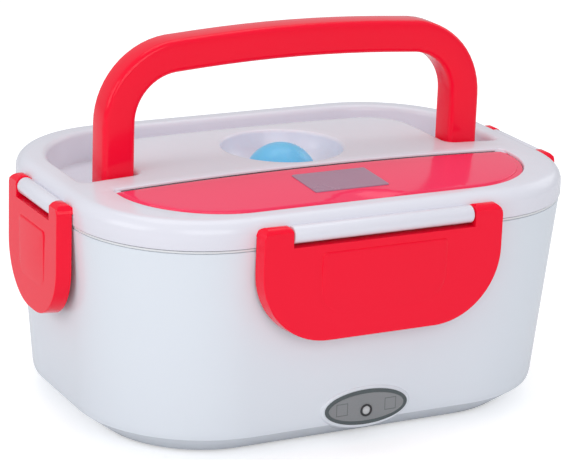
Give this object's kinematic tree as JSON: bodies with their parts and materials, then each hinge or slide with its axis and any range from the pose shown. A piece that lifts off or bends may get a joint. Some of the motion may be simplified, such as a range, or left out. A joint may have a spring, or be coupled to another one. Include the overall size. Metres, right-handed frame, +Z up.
{
  "type": "electric lunch box",
  "caption": "Heated lunch box with an oblong body, a lift-off lid held by snap clips, a folding carrying handle, a covered cutlery compartment and a vented top.",
  "frame": {"origin": "middle of the footprint, on the surface the feet stand on", "axes": "+X along the length to the right as seen from the lamp side, -Y towards the lamp plate and the cutlery cover, +Z up"},
  "size_m": [0.2344, 0.1724, 0.161],
  "materials": {
    "body_white": "glossy moulded",
    "red_gloss": "glossy moulded",
    "blue_silicone": "satin silicone",
    "plate_grey": "satin",
    "label_grey": "satin foil",
    "lens_clear": "clear",
    "inner_white": "satin food-safe plastic",
    "base_grey": "fine matt texture",
    "black_plastic": "matt",
    "foot_rubber": "matt",
    "aluminium": "rolled",
    "steel": "polished",
    "brass": "plain",
    "fuse_tan": "ceramic body in a moulded clip",
    "pad_fibre": "felted fibre"
  },
  "bodies": {
    "base": {"outer_shell": "body_white", "base_cover": "base_grey", "base_screws": "steel", "rubber_feet": "foot_rubber", "heating_well": "inner_white", "heat_plate": "aluminium", "ptc_heater": "aluminium", "heater_clamp": "steel", "thermostat": "black_plastic", "thermal_fuse": "fuse_tan", "insulation_pad": "pad_fibre", "power_inlet": "black_plastic", "inlet_pins": "brass", "lamp_plate": "plate_grey", "lamp_lens": "lens_clear", "lamp_diode": "lens_clear"},
    "tray": {"food_tray": "inner_white", "side_dish_box": "inner_white", "side_dish_lid": "blue_silicone"},
    "lid": {"lid_shell": "body_white", "lid_liner": "inner_white", "lid_seal": "blue_silicone", "spoon": "steel", "fork": "steel"},
    "cover": {"spoon_cover": "red_gloss", "cover_label": "label_grey"},
    "plug": {"vent_plug": "blue_silicone"},
    "handle": {"handle": "red_gloss"},
    "front_clip": {"clip_front": "red_gloss"},
    "back_clip": {"clip_back": "red_gloss"},
    "left_clip": {"clip_left": "red_gloss"},
    "right_clip": {"clip_right": "red_gloss"}
  },
  "joints": [
    {"name": "lid_lift", "type": "slide", "parent": "base", "child": "lid", "axis": [0, 0, 1], "range_m": [0, 0.14]},
    {"name": "tray_lift", "type": "slide", "parent": "base", "child": "tray", "axis": [0, 0, 1], "range_m": [0, 0.07]},
    {"name": "handle_fold", "type": "hinge", "parent": "lid", "child": "handle", "pos_m": [0, 0, 0.0966], "axis": [-1, 0, 0], "range_deg": [0, 90]},
    {"name": "cover_hinge", "type": "hinge", "parent": "lid", "child": "cover", "pos_m": [0, -0.0278, 0.1005], "axis": [-1, 0, 0], "range_deg": [0, 90]},
    {"name": "plug_lift", "type": "slide", "parent": "lid", "child": "plug", "axis": [0, 0, 1], "range_m": [0, 0.007]},
    {"name": "front_clip_hinge", "type": "hinge", "parent": "lid", "child": "front_clip", "pos_m": [0, -0.0819, 0.0964], "axis": [-1, 0, 0], "range_deg": [0, 100]},
    {"name": "back_clip_hinge", "type": "hinge", "parent": "lid", "child": "back_clip", "pos_m": [0, 0.0819, 0.0964], "axis": [1, 0, 0], "range_deg": [0, 100]},
    {"name": "left_clip_hinge", "type": "hinge", "parent": "lid", "child": "left_clip", "pos_m": [-0.1129, 0, 0.0964], "axis": [0, 1, 0], "range_deg": [0, 100]},
    {"name": "right_clip_hinge", "type": "hinge", "parent": "lid", "child": "right_clip", "pos_m": [0.1129, 0, 0.0964], "axis": [0, -1, 0], "range_deg": [0, 100]}
  ],
  "couplings": [
    {"joint": "tray_lift", "follows": "lid_lift", "ratio": 0.5}
  ]
}
